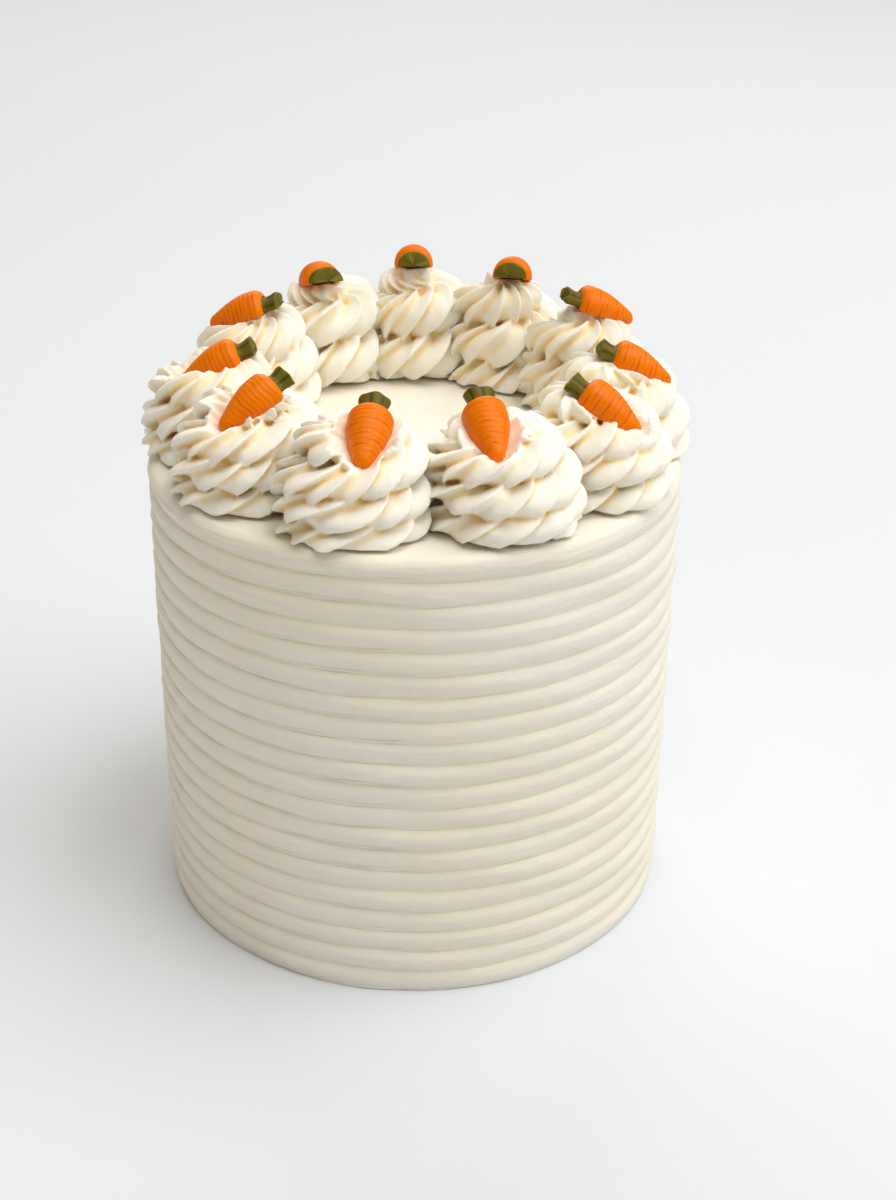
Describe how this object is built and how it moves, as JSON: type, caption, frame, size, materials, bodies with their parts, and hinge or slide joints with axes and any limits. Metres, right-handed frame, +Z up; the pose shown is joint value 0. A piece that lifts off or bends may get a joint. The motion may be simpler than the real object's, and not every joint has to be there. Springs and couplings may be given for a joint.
{
  "type": "carrot cake",
  "caption": "Tall round frosted carrot cake with comb-ridged sides, a ring of piped cream rosettes on top and a small moulded carrot sweet on each rosette.",
  "frame": {"origin": "middle of the round flat underside of the frosted cake body", "axes": "+Z up along the axis of the round cake; -Y faces the front, where two rosettes stand side by side; +X to the right seen from the front"},
  "size_m": [0.1753, 0.1771, 0.1924],
  "materials": {
    "frosting": "smooth cream cheese frosting, softly satin, pale ivory",
    "piped_cream": "piped buttercream, softly satin, off-white with warmer creases",
    "orange_sweet": "glossy moulded sweet, saturated orange",
    "green_sweet": "glossy moulded sweet, dark olive green"
  },
  "bodies": {
    "root": {"cake_body": "frosting", "rosette_01": "piped_cream", "carrot_root_01": "orange_sweet", "carrot_top_01": "green_sweet", "rosette_02": "piped_cream", "carrot_root_02": "orange_sweet", "carrot_top_02": "green_sweet", "rosette_03": "piped_cream", "carrot_root_03": "orange_sweet", "carrot_top_03": "green_sweet", "rosette_04": "piped_cream", "carrot_root_04": "orange_sweet", "carrot_top_04": "green_sweet", "rosette_05": "piped_cream", "carrot_root_05": "orange_sweet", "carrot_top_05": "green_sweet", "rosette_06": "piped_cream", "carrot_root_06": "orange_sweet", "carrot_top_06": "green_sweet", "rosette_07": "piped_cream", "carrot_root_07": "orange_sweet", "carrot_top_07": "green_sweet", "rosette_08": "piped_cream", "carrot_root_08": "orange_sweet", "carrot_top_08": "green_sweet", "rosette_09": "piped_cream", "carrot_root_09": "orange_sweet", "carrot_top_09": "green_sweet", "rosette_10": "piped_cream", "carrot_root_10": "orange_sweet", "carrot_top_10": "green_sweet", "rosette_11": "piped_cream", "carrot_root_11": "orange_sweet", "carrot_top_11": "green_sweet"}
  },
  "joints": []
}
